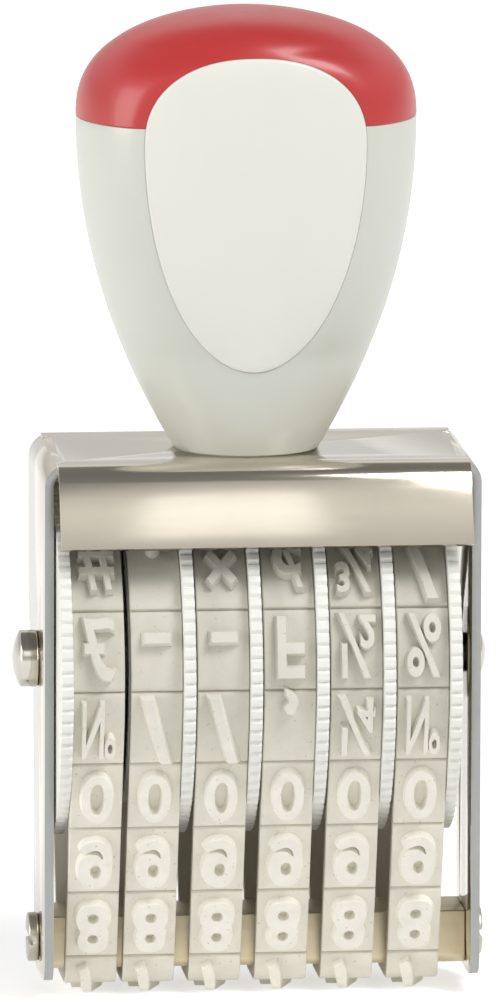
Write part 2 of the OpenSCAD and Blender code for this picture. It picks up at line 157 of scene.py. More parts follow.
class GripSettings(bpy.types.PropertyGroup):
    width: length("Width", "Width of the grip at its waist", BODY_HIGH.x - BODY_LOW.x)
    depth: length("Depth", "Depth of the grip", 2 * BODY_HIGH.y)
    height: length("Height", "Height of the grip above the frame", 0.0385)
    neck: length("Neck", "Radius of the neck", 0.0063)
    waist: length("Waist", "Height of the widest place above the frame", 0.0295)
    brow_drop: length("Brow", "How far below the top the faces roll over", 0.0065)
    label_width: length("Label width", "Width of the label plate", LABEL_HIGH.x - LABEL_LOW.x)
    label_middle: length("Label middle", "Height of the label plate's widest place", LABEL_MIDDLE)
    label_top: length("Label top", "Height of the label plate above its widest place",
                      LABEL_HIGH.z - GRIP_Z - LABEL_MIDDLE)
    label_tail: length("Label tail", "Height of the label plate below its widest place",
                       GRIP_Z + LABEL_MIDDLE - LABEL_LOW.z)
    label_proud: length("Label proud", "How far the label plate stands proud", 0.00014)
    label_fit: length("Label gap", "Gap round the label plate", 0.00008)
    margin: length("Face margin", "How far the flattened face reaches beyond the label plate", 0.0013)
    edge: length("Edge", "Roll of the moulded edges at the seam", 0.00012)
    body_color: colour("Body", "Colour of the grip's body", (0.62, 0.63, 0.56))
    cap_color: colour("Cap", "Colour of the cap", (0.48, 0.033, 0.033))
    label_color: colour("Label", "Colour of the label plate", (0.75, 0.75, 0.685))


class BandSettings(bpy.types.PropertyGroup):
    edge_radius: length("Anvil edge", "Radius of the anvil's lower edges", 0.001)
    relief: length("Relief", "Height of the characters above the band", 0.00085)
    shift: length("Shift", "How far the set characters stand forward of the anvil's middle", 0.0019)
    type_height: length("Character height", "Height of a digit on the flat band", 0.0048)
    draft: length("Draft", "How much wider a stroke is at its foot, on each side", 0.0002)
    groove_width: length("Groove width", "Width of the groove between two characters", 0.00026)
    groove_depth: length("Groove depth", "Depth of that groove", 0.0003)
    chamfer: length("Edge", "Softened edge along a band", 0.00009)
    color: colour("Rubber", "Colour of the rubber", (0.90, 0.87, 0.77))
    # Partly ink stain and partly painted shade: the colour that the low places, the grooves and the band's
    # back are darkened towards
    stain_and_shade: colour("Stain and shade", "Colour of the rubber in its low places", (0.66, 0.62, 0.51))
    # Painted shade: the grey that the bands' front is darkened to towards the top, where the apron shades
    # it
    painted_shade: colour("Painted shade", "Colour of the soil that the front picks up towards the top", (0.30, 0.295, 0.25))


class MetalSettings(bpy.types.PropertyGroup):
    edge: length("Edge", "Broken edge of the sheet", 0.00012)
    nickel_color: colour("Nickel", "Colour of the plated sheet", (0.66, 0.605, 0.51))
    edge_color: colour("Cut edge", "Colour of the sheet's sheared edges", (0.36, 0.37, 0.36))
    chrome_color: colour("Chrome", "Colour of the axle", (0.58, 0.56, 0.50))
    zinc_color: colour("Zinc", "Colour of the screws", (0.50, 0.48, 0.40))
    anvil_color: colour("Anvil", "Colour of the drawn anvil", (0.60, 0.53, 0.37))


class WheelSettings(bpy.types.PropertyGroup):
    edge: length("Edge", "Softened edge of the moulded teeth", 0.00011)
    color: colour("Plastic", "Colour of the thumb wheels", (0.83, 0.83, 0.78))


# ---- Tools ----

CAD_MERGE = 0.000002        # corners of a CAD copy nearer than this are one
CAD_FLAT = math.radians(1)  # its faces that meet at less than this are one
SHARP = math.radians(30)    # its edges that turn by more than this are broken


def clear():
    if bpy.context.mode != "OBJECT":
        bpy.ops.object.mode_set(mode="OBJECT")
    bpy.ops.object.select_all(action="DESELECT")


def pick(piece):
    clear()
    piece.select_set(True)
    bpy.context.view_layer.objects.active = piece


def modify(piece, kind, **settings):
    change = piece.modifiers.new(kind.title(), kind)
    for name, value in settings.items():
        setattr(change, name, value)
    pick(piece)
    bpy.ops.object.modifier_apply(modifier=change.name)


def edit(piece, step):
    """Runs an edit mode step on the whole piece."""
    pick(piece)
    bpy.ops.object.mode_set(mode="EDIT")
    bpy.ops.mesh.select_all(action="SELECT")
    step()
    bpy.ops.object.mode_set(mode="OBJECT")


def face_out(piece):
    edit(piece, lambda: bpy.ops.mesh.normals_make_consistent(inside=False))


def smooth(piece, degrees):
    pick(piece)
    bpy.ops.object.shade_smooth_by_angle(angle=math.radians(degrees))


def only_material(piece, material):
    piece.data.materials.clear()
    piece.data.materials.append(material)


def stack(name, sides, count, place):
    """A closed stack of rings. A circle is extruded ring by ring, and place(ring, corner) then
    says where each corner of each ring goes."""
    clear()
    bpy.ops.mesh.primitive_circle_add(vertices=sides, radius=1, fill_type="NGON", location=(0, 0, 0))
    piece = bpy.context.object
    piece.name = name
    bpy.ops.object.mode_set(mode="EDIT")
    bpy.ops.mesh.select_all(action="SELECT")
    for _ in range(count - 1):
        bpy.ops.mesh.extrude_region_move(TRANSFORM_OT_translate={"value": (0, 0, 1)})
    bpy.ops.object.mode_set(mode="OBJECT")
    for vertex in piece.data.vertices:
        corner = round(math.atan2(vertex.co.y, vertex.co.x) / (2 * math.pi) * sides) % sides
        vertex.co = place(round(vertex.co.z), corner)
    face_out(piece)
    return piece


def rounded_copy(node, name, edge, segments=2):
    """A copy of a CAD node with its edges broken."""
    pick(frame["nodes"][node])
    bpy.ops.object.duplicate()
    piece = bpy.context.object
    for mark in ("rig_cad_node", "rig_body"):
        if mark in piece:
            del piece[mark]
    bpy.ops.object.parent_clear(type="CLEAR_KEEP_TRANSFORM")
    piece.name = name
    bpy.ops.mesh.customdata_custom_splitnormals_clear()

    def clean():
        bpy.ops.mesh.remove_doubles(threshold=CAD_MERGE)
        bpy.ops.mesh.dissolve_limited(angle_limit=CAD_FLAT)
    edit(piece, clean)
    modify(piece, "BEVEL", width=edge, segments=segments, limit_method="ANGLE",
           angle_limit=SHARP, use_clamp_overlap=True, miter_outer="MITER_ARC")
    smooth(piece, degrees=40)
    return piece


# ---- Materials ----

# Sockets of a Mix node set to colours; their names are shared with its other kinds
MIX_FACTOR, MIX_FIRST, MIX_SECOND, MIX_RESULT = 0, 6, 7, 2
BOW_MIDDLE = 0.3    # height of the sheet's bow in the middle, as a share of what it gains at a side
BOW_TOP = 0.007     # how far below the top plate the bow starts to fall
PLATE_GRAIN = 0.0000002  # depth of the rolling streaks under the plate
# How much painted shade darkens the bands' front, standing in for the apron's shadow: shares at places
# from the lower height below, 0, to the upper one, 1
PAINTED_SHADE_LOW, PAINTED_SHADE_HIGH = 0.020, 0.044
PAINTED_SHADE_STOPS = [(0.08, 0), (0.3, 0.26), (0.66, 0.36), (0.8, 0.68), (0.97, 0.95)]
PAINTED_SHADE_FADE = 0.004   # it fades from this far in front of the axle to as far behind it


class Finish:
    """A material under construction: a Principled shader and the nodes that feed it."""

    def __init__(self, name, **sockets):
        self.material = bpy.data.materials.new(name)
        self.material.use_nodes = True
        self.tree = self.material.node_tree
        self.tree.nodes.clear()
        self.shader = self.node("ShaderNodeBsdfPrincipled")
        out = self.node("ShaderNodeOutputMaterial")
        self.link(self.shader, "BSDF", out, "Surface")
        for socket, value in sockets.items():
            self.shader.inputs[socket.replace("_", " ")].default_value = value
        self.place = self.node("ShaderNodeTexCoord")

    def node(self, kind, **settings):
        node = self.tree.nodes.new(kind)
        for name, value in settings.items():
            setattr(node, name, value)
        return node

    def link(self, source, output, target, socket):
        self.tree.links.new(source.outputs[output], target.inputs[socket])

    def axes(self):
        """The place on the piece, split into its X, Y and Z in metres."""
        split = self.node("ShaderNodeSeparateXYZ")
        self.link(self.place, "Object", split, "Vector")
        return split

    def work_out(self, operation, *terms):
        """The result of a Math node; each term is a number or the output of a node."""
        node = self.node("ShaderNodeMath", operation=operation)
        for i, term in enumerate(terms):
            if isinstance(term, tuple):
                self.link(*term, node, i)
            else:
                node.inputs[i].default_value = term
        return node, "Value"

    def noise(self, size, stretch=(1, 1, 1), detail=2):
        """Noise with grains of about the given size in metres."""
        mapping = self.node("ShaderNodeMapping")
        mapping.inputs["Scale"].default_value = stretch
        self.link(self.place, "Object", mapping, "Vector")
        noise = self.node("ShaderNodeTexNoise")
        noise.inputs["Scale"].default_value = 1 / size
        noise.inputs["Detail"].default_value = detail
        self.link(mapping, "Vector", noise, "Vector")
        return noise, "Fac"

    def spread(self, source, low, high, start=0.3, end=0.7):
        """A value from low to high as the source goes from start to end."""
        ramp = self.node("ShaderNodeMapRange")
        ramp.inputs["From Min"].default_value = start
        ramp.inputs["From Max"].default_value = end
        ramp.inputs["To Min"].default_value = low
        ramp.inputs["To Max"].default_value = high
        self.link(*source, ramp, "Value")
        return ramp, "Result"

    def blend(self, source, first, second):
        """A colour from first to second; each is a colour or the output of a node."""
        mix = self.node("ShaderNodeMix", data_type="RGBA")
        self.link(*source, mix, MIX_FACTOR)
        for socket, value in ((MIX_FIRST, first), (MIX_SECOND, second)):
            if isinstance(value[0], bpy.types.Node):
                self.link(*value, mix, socket)
            else:
                mix.inputs[socket].default_value = (*value[:3], 1)
        return mix, MIX_RESULT

    def color(self, source):
        self.link(*source, self.shader, "Base Color")

    def roughness(self, source):
        self.link(*source, self.shader, "Roughness")

    def bow(self):
        """A height that rises to the sheet's sides, and falls there from its aprons to its top."""
        split = self.axes()
        across = self.spread((split, "X"), 0, 1, 0, FRAME_HIGH.x)
        across[0].clamp = False
        up = self.spread((split, "Z"), 0, 1, FRAME_HIGH.z - BOW_TOP, FRAME_HIGH.z)
        down = self.work_out("MULTIPLY", up, -1)
        rise = self.work_out("MULTIPLY_ADD", across, across, BOW_MIDDLE)
        fall = self.work_out("MULTIPLY_ADD", up, down, 1)
        return self.work_out("MULTIPLY", rise, fall)

    def bump(self, source, depth, under=None):
        node = self.node("ShaderNodeBump")
        node.inputs["Strength"].default_value = 1
        node.inputs["Distance"].default_value = depth
        self.link(*source, node, "Height")
        if under:
            self.link(under, "Normal", node, "Normal")
        self.link(node, "Normal", self.shader, "Normal")
        return node


def shade(color, factor):
    return tuple(min(1, c * factor) for c in color)


def set_stops(ramp, stops, tint=(1, 1, 1)):
    """Gives a colour ramp its stops; a stop is a position and a brightness."""
    elements = ramp.color_ramp.elements
    while len(elements) < len(stops):
        elements.new(0.5)
    for element, (at, value) in zip(elements, stops):
        element.position = at
        element.color = (*shade(tint, value), 1)


def plastic(name, color, rough, coat, ripple=0.00001):
    """Moulded plastic: slight flow marks, a faint skin texture and uneven gloss."""
    finish = Finish(name, IOR=1.49, Coat_Weight=coat, Coat_Roughness=0.12)
    flow = finish.spread(finish.noise(0.011, stretch=(1, 1, 0.4), detail=3), 0, 1, start=0.2, end=0.8)
    finish.color(finish.blend(flow, shade(color, 0.97), shade(color, 1.02)))
    gloss = finish.noise(0.0035, detail=4)
    finish.roughness(finish.spread(gloss, rough * 0.88, rough * 1.15, start=0.15, end=0.85))
    wave = finish.bump(finish.noise(0.012, detail=0), ripple)
    finish.bump(finish.noise(0.00035), ripple * 0.1, wave)
    return finish.material


def plated(name, color, rough, stretch, bow=0):
    """Plated metal: fine rolling streaks under the plate, faint clouding and dull spots.
    A bow lets the bent sheet's reflections curve towards its upper corners."""
    finish = Finish(name, Metallic=1.0)
    cloud = finish.spread(finish.noise(0.006, detail=4), 0, 1, start=0.2, end=0.8)
    finish.color(finish.blend(cloud, shade(color, 0.94), shade(color, 1.03)))
    streak = finish.noise(0.0006, stretch, detail=3)
    finish.roughness(finish.spread(streak, rough * 0.85, rough * 1.2, start=0.2, end=0.8))
    under = finish.bump(finish.bow(), bow) if bow else None
    finish.bump(streak, PLATE_GRAIN, under)
    return finish.material


def painted_shade(finish):
    """How much painted shade, standing in for the apron's shadow, darkens a place on the bands: from their
    front's foot to its top, and none at the rear.
    """
    split = finish.axes()
    rise = finish.spread((split, "Z"), 0, 1, PAINTED_SHADE_LOW, PAINTED_SHADE_HIGH)
    amount = finish.node("ShaderNodeValToRGB")
    set_stops(amount, PAINTED_SHADE_STOPS)
    finish.link(*rise, amount, "Fac")
    front = finish.spread((split, "Y"), 1, 0, -PAINTED_SHADE_FADE, PAINTED_SHADE_FADE)
    return finish.work_out("MULTIPLY", (amount, "Color"), front)


def rubber(settings):
    """Moulded rubber with a chalky bloom and small specks, with ink stain and painted shade in its low
    places, and painted shade for the apron's shadow up its front."""
    finish = Finish("ivory rubber", IOR=1.52, Specular_IOR_Level=0.35)
    height = finish.node("ShaderNodeAttribute", attribute_name="relief")
    # Ink stain and painted shade: the lower a place lies in the band's relief, the more it takes the stain
    # colour
    low = finish.spread((height, "Fac"), 1, 0, start=0.44, end=0.68)
    mottle = finish.noise(0.0016, detail=4)
    bloom = finish.spread(mottle, 0, 1)
    clean = finish.blend(bloom, shade(settings.color, 0.94), shade(settings.color, 1.03))
    # Painted shade on the front towards the top, for the apron's shadow, laid over the low places' ink
    # stain and painted shade
    stained_and_shaded = finish.blend(painted_shade(finish), finish.blend(low, clean, settings.stain_and_shade), settings.painted_shade)
    speck = finish.spread(finish.noise(0.00028, detail=1), 0, 0.55, start=0.70, end=0.78)
    finish.color(finish.blend(speck, stained_and_shaded, shade(settings.stain_and_shade, 0.6)))
    finish.roughness(finish.spread(mottle, 0.52, 0.72))
    skin = finish.bump(finish.noise(0.0009, detail=3), 0.00003)
    finish.bump(finish.noise(0.00022), 0.000008, skin)
    return finish.material


# ---- Grip ----

SIDES = 128          # corners of a ring of the grip
LABEL_SIDES = 128    # corners of the label plate's outline
BODY_RINGS = 44      # rings of the body up to the seam
CAP_RINGS = 36       # rings of the cap
CAP_START = 0.0003   # the first of them stands this far above the seam
CAP_END = math.radians(87)    # the cap's rings end this far round its crown
SWELL = 2.1          # how fast the grip swells from neck to waist
CROWN = 2.3          # roundness of its top, seen from the front
BROW = 3.2           # how tightly the faces roll over the top
FACE_FROM = math.radians(62)  # where round the section a flattened face starts
FACE_MOST = 0.7      # widest flattened face, as a share of the half width
FULLNESS = 2.25      # how full the label plate's arch is
ROUND = 2            # and its tail: an oval
HALVINGS = 40        # steps in which a point on the grip's front is found
TINY = 1e-9          # a cosine under this counts as none
# Bend in a rolled seam edge, as shares of the edge: how far from the seam on the body and on the
# cap, and how far in
BODY_BEND, CAP_BEND, BEND_IN = 0.3, 0.7, 0.25

# The label plate and its seat: rings from the middle outwards, as shares of the outline
LABEL_SHARES = (0.03, 0.15, 0.3, 0.45, 0.6, 0.72, 0.82, 0.9, 0.95, 0.98)
SEAT_SHARES = (0.03, 0.2, 0.4, 0.6, 0.75, 0.88, 0.96)
LABEL_DEPTH = 0.0006   # how deep the plate's back lies in the grip
LABEL_ROLL = 0.00016   # radius of its front edge
LABEL_FILL = 0.7       # share of the gap round it that its moulded edge fills
SEAT_DEPTH = 0.00065   # how deep the seat is cut
SEAT_REACH = 0.003     # how far the seat's cutter stands out


def grip_half(h, widest, start, n):
    """Half the grip's width or depth at height h, which closes from start up with roundness n."""
    s = bpy.context.scene.grip_settings
    if h < s.waist:
        return widest - (widest - s.neck) * ((s.waist - h) / s.waist) ** SWELL
    if h < start:
        return widest
    return widest * max(0, 1 - ((h - start) / (s.height - start)) ** n) ** (1 / n)


def face_half(h):
    """Half the width of the flattened face at height h."""
    s = bpy.context.scene.grip_settings
    up = h > s.label_middle
    n = FULLNESS if up else ROUND
    t = abs(h - s.label_middle) / ((s.label_top if up else s.label_tail) + s.margin)
    return (s.label_width / 2 + s.margin) * (1 - t ** n) ** (1 / n) if t < 1 else 0


def grip_section(h, grow):
    """Half width, half depth and flattened width of the grip at height h."""
    s = bpy.context.scene.grip_settings
    w = grip_half(h, s.width / 2, s.waist, CROWN) + grow
    d = grip_half(h, s.depth / 2, max(s.waist, s.height - s.brow_drop), BROW) + grow
    wide = (face_half(h) - w * math.cos(FACE_FROM)) / (1 - math.cos(FACE_FROM))
    return w, d, min(FACE_MOST * w, max(0, wide))


def across(q):
    """How far across a flattened face the place q round the section lies: 1 at its side, 0 in its
    middle."""
    rest = math.pi / 2 - FACE_FROM
    return 1 if q < FACE_FROM else 1 - ((q - FACE_FROM) / rest) ** 2


def grip_point(h, turn, grow):
    w, d, flat = grip_section(h, grow)
    c, s = math.cos(turn), math.sin(turn)
    side = 0 if abs(c) < TINY else math.copysign(1, c)
    q = math.asin(min(1, abs(s)))
    return Vector((GRIP_X + (w - flat) * c + flat * side * across(q), d * s, GRIP_Z + h))


def front_skin(x, h, grow):
    """The grip's front surface at x from its middle and h, found by halving the turn."""
    w, d, flat = grip_section(h, grow)
    low, high = 0, math.pi / 2
    for _ in range(HALVINGS):
        q = (low + high) / 2
        if (w - flat) * math.cos(q) + flat * across(q) > abs(x):
            low = q
        else:
            high = q
    return Vector((GRIP_X + x, -d * math.sin(low), GRIP_Z + h))


def loft(name, rings):
    """The part of the grip between two heights; a ring is a height and how much it is grown."""
    def place(ring, corner):
        h, grow = rings[ring]
        return grip_point(h, 2 * math.pi * corner / SIDES, grow)
    return stack(name, SIDES, len(rings), place)


def label_point(turn, grow, share):
    """A place on the label plate's outline, or on a share of it: x, and the height above the frame."""
    s = bpy.context.scene.grip_settings
    c, v = math.cos(turn), math.sin(turn)
    n = FULLNESS if v > 0 else ROUND
    reach = s.label_top if v > 0 else s.label_tail
    x = (s.label_width / 2 + grow) * share * math.copysign(abs(c) ** (2 / n), c)
    z = (reach + grow) * share * math.copysign(abs(v) ** (2 / n), v)
    return x, s.label_middle + z


def label_shell(name, rings):
    """A closed plate that follows the grip's front. A ring is how much the outline is grown,
    its share of the outline, and how far it stands out from the grip."""
    def place(ring, corner):
        grow, share, out = rings[ring]
        x, h = label_point(2 * math.pi * corner / LABEL_SIDES, grow, share)
        return front_skin(x, h, out)
    return stack(name, LABEL_SIDES, len(rings), place)


def cut_seat(piece):
    """Cuts the label plate's seat out of a piece of the grip."""
    s = bpy.context.scene.grip_settings
    back = [(s.label_fit, share, -SEAT_DEPTH) for share in (*SEAT_SHARES, 1)]
    front = [(s.label_fit, share, SEAT_REACH) for share in (1, *reversed(SEAT_SHARES))]
    cutter = label_shell("seat_cutter", back + front)
    modify(piece, "BOOLEAN", operation="DIFFERENCE", object=cutter, solver="EXACT")
    bpy.data.objects.remove(cutter)


class NUMBERING_OT_grip_body(bpy.types.Operator):
    """Moulds the grip's off-white body with the seat for the label plate"""
    bl_idname = "numbering.grip_body"
    bl_label = "Grip Body"

    def execute(self, context):
        s = context.scene.grip_settings
        rings = [(0, -s.edge), (s.edge, 0)]
        rings += [(SEAM_Z * i / BODY_RINGS, 0) for i in range(1, BODY_RINGS)]
        rings += [(SEAM_Z - s.edge, 0), (SEAM_Z - s.edge * BODY_BEND, -s.edge * BEND_IN),
                  (SEAM_Z, -s.edge)]
        body = loft("grip_body", rings)
        cut_seat(body)
        smooth(body, degrees=30)
        only_material(body, plastic("off-white plastic", s.body_color, rough=0.35, coat=0.12))
        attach(body, "root")
        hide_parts("handle_body")
        return {"FINISHED"}


class NUMBERING_OT_grip_cap(bpy.types.Operator):
    """Moulds the red cap that closes the top of the grip"""
    bl_idname = "numbering.grip_cap"
    bl_label = "Grip Cap"

    def execute(self, context):
        s = context.scene.grip_settings
        rise = (TOP_Z - SEAM_Z) / math.sin(CAP_END)
        heights = [SEAM_Z + rise * math.sin(CAP_END * i / CAP_RINGS) for i in range(1, CAP_RINGS + 1)]
        rings = [(SEAM_Z, -s.edge), (SEAM_Z + s.edge * CAP_BEND, -s.edge * BEND_IN),
                 (SEAM_Z + s.edge, 0)]
        rings += [(h, 0) for h in heights if h > SEAM_Z + CAP_START]
        cap = loft("grip_cap", rings)
        cut_seat(cap)
        smooth(cap, degrees=30)
        only_material(cap, plastic("red plastic", s.cap_color, rough=0.35, coat=0.12))
        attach(cap, "root")
        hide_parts("handle_cap")
        return {"FINISHED"}


class NUMBERING_OT_label_plate(bpy.types.Operator):
    """Lays the bare label plate into the grip's front"""
    bl_idname = "numbering.label_plate"
    bl_label = "Label Plate"

    def execute(self, context):
        s = context.scene.grip_settings
        edge = s.label_fit * LABEL_FILL
        back = [(edge, share, -LABEL_DEPTH) for share in (*LABEL_SHARES, 1)]
        rim = [(edge - LABEL_ROLL * (1 - math.cos(a)), 1, s.label_proud - LABEL_ROLL * (1 - math.sin(a)))
               for a in map(math.radians, (0, 30, 60, 90))]
        front = [(edge - LABEL_ROLL, share, s.label_proud) for share in reversed(LABEL_SHARES)]
        plate = label_shell("label_plate", back + rim + front)
        smooth(plate, degrees=40)
        only_material(plate, plastic("label plastic", s.label_color, rough=0.4, coat=0.05))
        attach(plate, "root")
        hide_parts("front_label_plate")
        return {"FINISHED"}


# ---- Frame, axle and anvil ----

CHEEK_DEPTH = 0.0012  # from a cheek's outer face to just behind its sheared edge
EDGE_ON = 0.2         # most that a face of that edge may look sideways


class NUMBERING_OT_sheet_frame(bpy.types.Operator):
    """Breaks the edges of the bent sheet and plates it"""
    bl_idname = "numbering.sheet_frame"
    bl_label = "Sheet Frame"

    def execute(self, context):
        s = context.scene.metal_settings
        sheet = rounded_copy("frame_bracket", "sheet_frame", s.edge)
        nickel = plated("bright nickel", s.nickel_color, rough=0.14, stretch=(0.12, 1, 1), bow=0.00024)
        sheared = plated("sheared edge", s.edge_color, rough=0.45, stretch=(1, 1, 0.3))
        only_material(sheet, nickel)
        sheet.data.materials.append(sheared)
        for face in sheet.data.polygons:
            if abs(face.normal.x) < EDGE_ON and abs(face.center.x) > FRAME_HIGH.x - CHEEK_DEPTH:
                face.material_index = 1
        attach(sheet, "root")
        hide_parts("frame_bracket")
        return {"FINISHED"}


class NUMBERING_OT_fittings(bpy.types.Operator):
    """Finishes the axle, its washer, the screws and the printing anvil"""
    bl_idname = "numbering.fittings"
    bl_label = "Axle, Screws and Anvil"

    def execute(self, context):
        s = context.scene.metal_settings
        chrome = plated("chromed steel", s.chrome_color, rough=0.12, stretch=(1, 0.2, 0.2))
        zinc = plated("zinc plate", s.zinc_color, rough=0.34, stretch=(0.3, 1, 1))
        drawn = plated("drawn bar", s.anvil_color, rough=0.42, stretch=(0.04, 1, 1))
        # Node, piece, broken edge, finish and slot
        parts = [("wheel_axle", "axle", 0.0003, chrome, "axle_chrome"),
                 ("axle_washer", "end_washer", 0.0001, zinc, "screw_steel"),
                 ("anvil_screw_left", "screw_left", 0.00018, zinc, "screw_steel"),
                 ("anvil_screw_right", "screw_right", 0.00018, zinc, "screw_steel"),
                 ("handle_screw", "grip_screw", 0.0002, zinc, "screw_steel"),
                 ("handle_washer", "grip_screw_washer", 0.00008, zinc, "screw_steel"),
                 ("printing_anvil", "anvil", 0.00012, drawn, "anvil_metal")]
        for node, name, edge, material, slot in parts:
            part = rounded_copy(node, name, edge, segments=3)
            only_material(part, material)
            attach(part, "root")
            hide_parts(node)
        return {"FINISHED"}


class NUMBERING_OT_thumb_wheels(bpy.types.Operator):
    """Softens the moulded teeth of the six thumb wheels"""
    bl_idname = "numbering.thumb_wheels"
    bl_label = "Thumb Wheels"

    def execute(self, context):
        s = context.scene.wheel_settings
        white = plastic("white plastic", s.color, rough=0.42, coat=0.0, ripple=0.000012)
        for i in range(1, BANDS + 1):
            wheel = rounded_copy(f"thumb_wheel_{i}", f"serrated_wheel_{i}", s.edge)
            only_material(wheel, white)
            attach(wheel, f"wheel_{i}")
            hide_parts(f"thumb_wheel_{i}")
        return {"FINISHED"}


# ---- Number bands ----

# In this part lengths are in millimetres, unless they come from the settings
FIRST, LAST = ["7", "8", "9", "0"], ["1", "2", "3", "4", "5", "6"]  # digits before and after the signs
OVAL_SIDES = 20      # corners of a drawn oval
CAPITAL = 0.729      # height of a capital in the plain font at size 1
BOLD = 0.08          # how much the font's strokes are widened
PAIR_SPACE = 0.9     # spacing of a sign made of two letters
DRAWN_STEPS = 3      # steps between two corners of a drawn character
FONT_STEPS = 4       # and of one from the font
TOP_FROM = 0.9       # share of the draft above which a corner belongs to a character's top
FOOT = -0.06         # how deep a character's foot goes into the band, as a share of its height
BAND_SIDES = 8       # corners of a band's section
CHARACTER_MERGE = 0.001  # corners of a character nearer than this are one
BAND_STEPS = 22      # slices of a character's stretch between its grooves
GROOVE_LIP = 0.6     # depth of a groove's softened edge, as a share of the chamfer
STRIP_MERGE = 0.0005     # and so are those of two neighbouring stretches
SLICE = 0.45         # widest slice of a character, so that it bends with its band
PATH_POINTS = 720    # corners of the loop's path
ENDS_MERGE = 0.003   # the bent strip's two ends lie this near each other
SLIVER = 0.0005      # edges shorter than this are dissolved
# From a band's own place (y, z, x in millimetres) to metres
FROM_LOOP = Matrix(((0, 0, MM, 0), (MM, 0, 0, 0), (0, MM, 0, 0), (0, 0, 0, 1)))


class Loop:
    """The path of a band's back, in millimetres, seen from the side: y to the right, z up."""

    def __init__(self, settings):
        self.relief = settings.relief / MM
        self.band = ANVIL_LOW.z / MM - self.relief
        self.drum_z = AXLE_Z / MM
        self.drum_r = BAND_HIGH.y / MM - self.band - self.relief
        self.edge_r = settings.edge_radius / MM
        self.edge_y = ANVIL_HIGH.y / MM - self.edge_r
        self.edge_z = ANVIL_LOW.z / MM + self.edge_r
        span = math.hypot(self.edge_y, self.drum_z - self.edge_z)
        self.lean = (math.asin((self.drum_r - self.edge_r) / span)
                     - math.atan2(self.edge_y, self.drum_z - self.edge_z))
        self.arc = self.edge_r * (math.pi / 2 - self.lean)
        self.run = math.sqrt(span ** 2 - (self.drum_r - self.edge_r) ** 2)
        self.half = self.edge_y + self.arc + self.run + self.drum_r * (math.pi / 2 + self.lean)
        self.pitch = 2 * self.half / TYPES

    def at(self, s):
        """Point at a distance s forward of the anvil's middle."""
        s = (s + self.half) % (2 * self.half) - self.half
        if s < 0:
            point = self.at(-s)
            return -point[0], point[1]
        if s < self.edge_y:
            return -s, self.edge_z - self.edge_r
        s -= self.edge_y
        if s < self.arc:
            a = -math.pi / 2 - s / self.edge_r
            return -self.edge_y + self.edge_r * math.cos(a), self.edge_z + self.edge_r * math.sin(a)
        s -= self.arc
        a = self.lean - math.pi
        if s < self.run:
            return (-self.edge_y + self.edge_r * math.cos(a) + s * math.sin(a),
                    self.edge_z + self.edge_r * math.sin(a) - s * math.cos(a))
        a -= (s - self.run) / self.drum_r
        return self.drum_r * math.cos(a), self.drum_z + self.drum_r * math.sin(a)


def oval(x, y, w, h):
    """Corners of an oval outline."""
    turns = [2 * math.pi * i / OVAL_SIDES for i in range(OVAL_SIDES)]
    return [(x + w / 2 * math.cos(a), y + h / 2 * math.sin(a)) for a in turns]


def outline_nine():
    """A nine in a box 1 wide and 1 high: an oval body, a notch under its loop, and the loop's hole."""
    body = [(-0.5, 0.02), (-0.5, 0.2), (-0.42, 0.36), (-0.26, 0.46), (0, 0.5), (0.26, 0.46), (0.42, 0.35),
            (0.5, 0.18), (0.5, -0.08), (0.46, -0.27), (0.33, -0.42), (0.14, -0.49), (-0.08, -0.5),
            (-0.30, -0.46), (-0.43, -0.38), (-0.46, -0.31), (-0.40, -0.265), (-0.26, -0.275),
            (-0.08, -0.315), (0.06, -0.315), (0.17, -0.26), (0.235, -0.17), (0.22, -0.135),
            (0.12, -0.18), (0, -0.22), (-0.16, -0.225), (-0.32, -0.19), (-0.44, -0.11)]
    return [body, oval(0.02, 0.14, 0.35, 0.29)]


def outline_eight():
    """An eight in the same box: a waisted body and two holes."""
    body = [(0, 0.5), (0.22, 0.48), (0.39, 0.40), (0.45, 0.27), (0.43, 0.14), (0.38, 0.05), (0.44, -0.03),
            (0.5, -0.15), (0.5, -0.28), (0.42, -0.41), (0.24, -0.49), (0, -0.5)]
    body += [(-x, y) for x, y in reversed(body[1:-1])]
    return [body, oval(0, 0.215, 0.34, 0.205), oval(0, -0.215, 0.36, 0.215)]


def outline_six():
    """A six: a nine turned half round."""
    return [[(-x, -y) for x, y in line] for line in outline_nine()]


DRAWN = {"6": outline_six, "8": outline_eight, "9": outline_nine}
# Widths of the characters at their tops, and the slash's height; a comma and a dot keep their own
WIDTHS = {"0": 2.75, "1": 1.0, "2": 2.8, "3": 2.7, "4": 2.9, "5": 2.6, "6": 2.95, "7": 2.7, "8": 2.95,
          "9": 2.95, "/": 2.6, "-": 2.2, "F": 2.3, "½": 3.2, "¼": 3.1, "¾": 3.3, "%": 3.0, "Nº": 2.95,
          "£": 2.7, "#": 3.0, "¢": 2.5, "×": 2.6, "&": 3.1, "=": 2.4, "+": 2.5, "*": 2.2}
TALL = {"/": 5.6}


def drawn_character(sign, width, height):
    """A character as a flat curve from its own outline."""
    data = bpy.data.curves.new("character", "CURVE")
    piece = bpy.data.objects.new("character", data)
    bpy.context.scene.collection.objects.link(piece)
    data.dimensions = "2D"
    data.fill_mode = "BOTH"
    data.resolution_u = DRAWN_STEPS
    for line in DRAWN[sign]():
        spline = data.splines.new("BEZIER")
        spline.bezier_points.add(len(line) - 1)
        spline.use_cyclic_u = True
        for point, (x, y) in zip(spline.bezier_points, line):
            point.co = (x * width, y * height, 0)
            point.handle_left_type = point.handle_right_type = "AUTO"
    pick(piece)
    return piece


def font_character(sign, height):
    """A character as a flat curve from the plain font."""
    bpy.ops.object.text_add(location=(0, 0, 0))
    piece = bpy.context.object
    piece.data.body = sign
    piece.data.size = height / CAPITAL
    piece.data.offset = BOLD
    piece.data.resolution_u = FONT_STEPS
    if len(sign) > 1:
        piece.data.space_character = PAIR_SPACE
    return piece


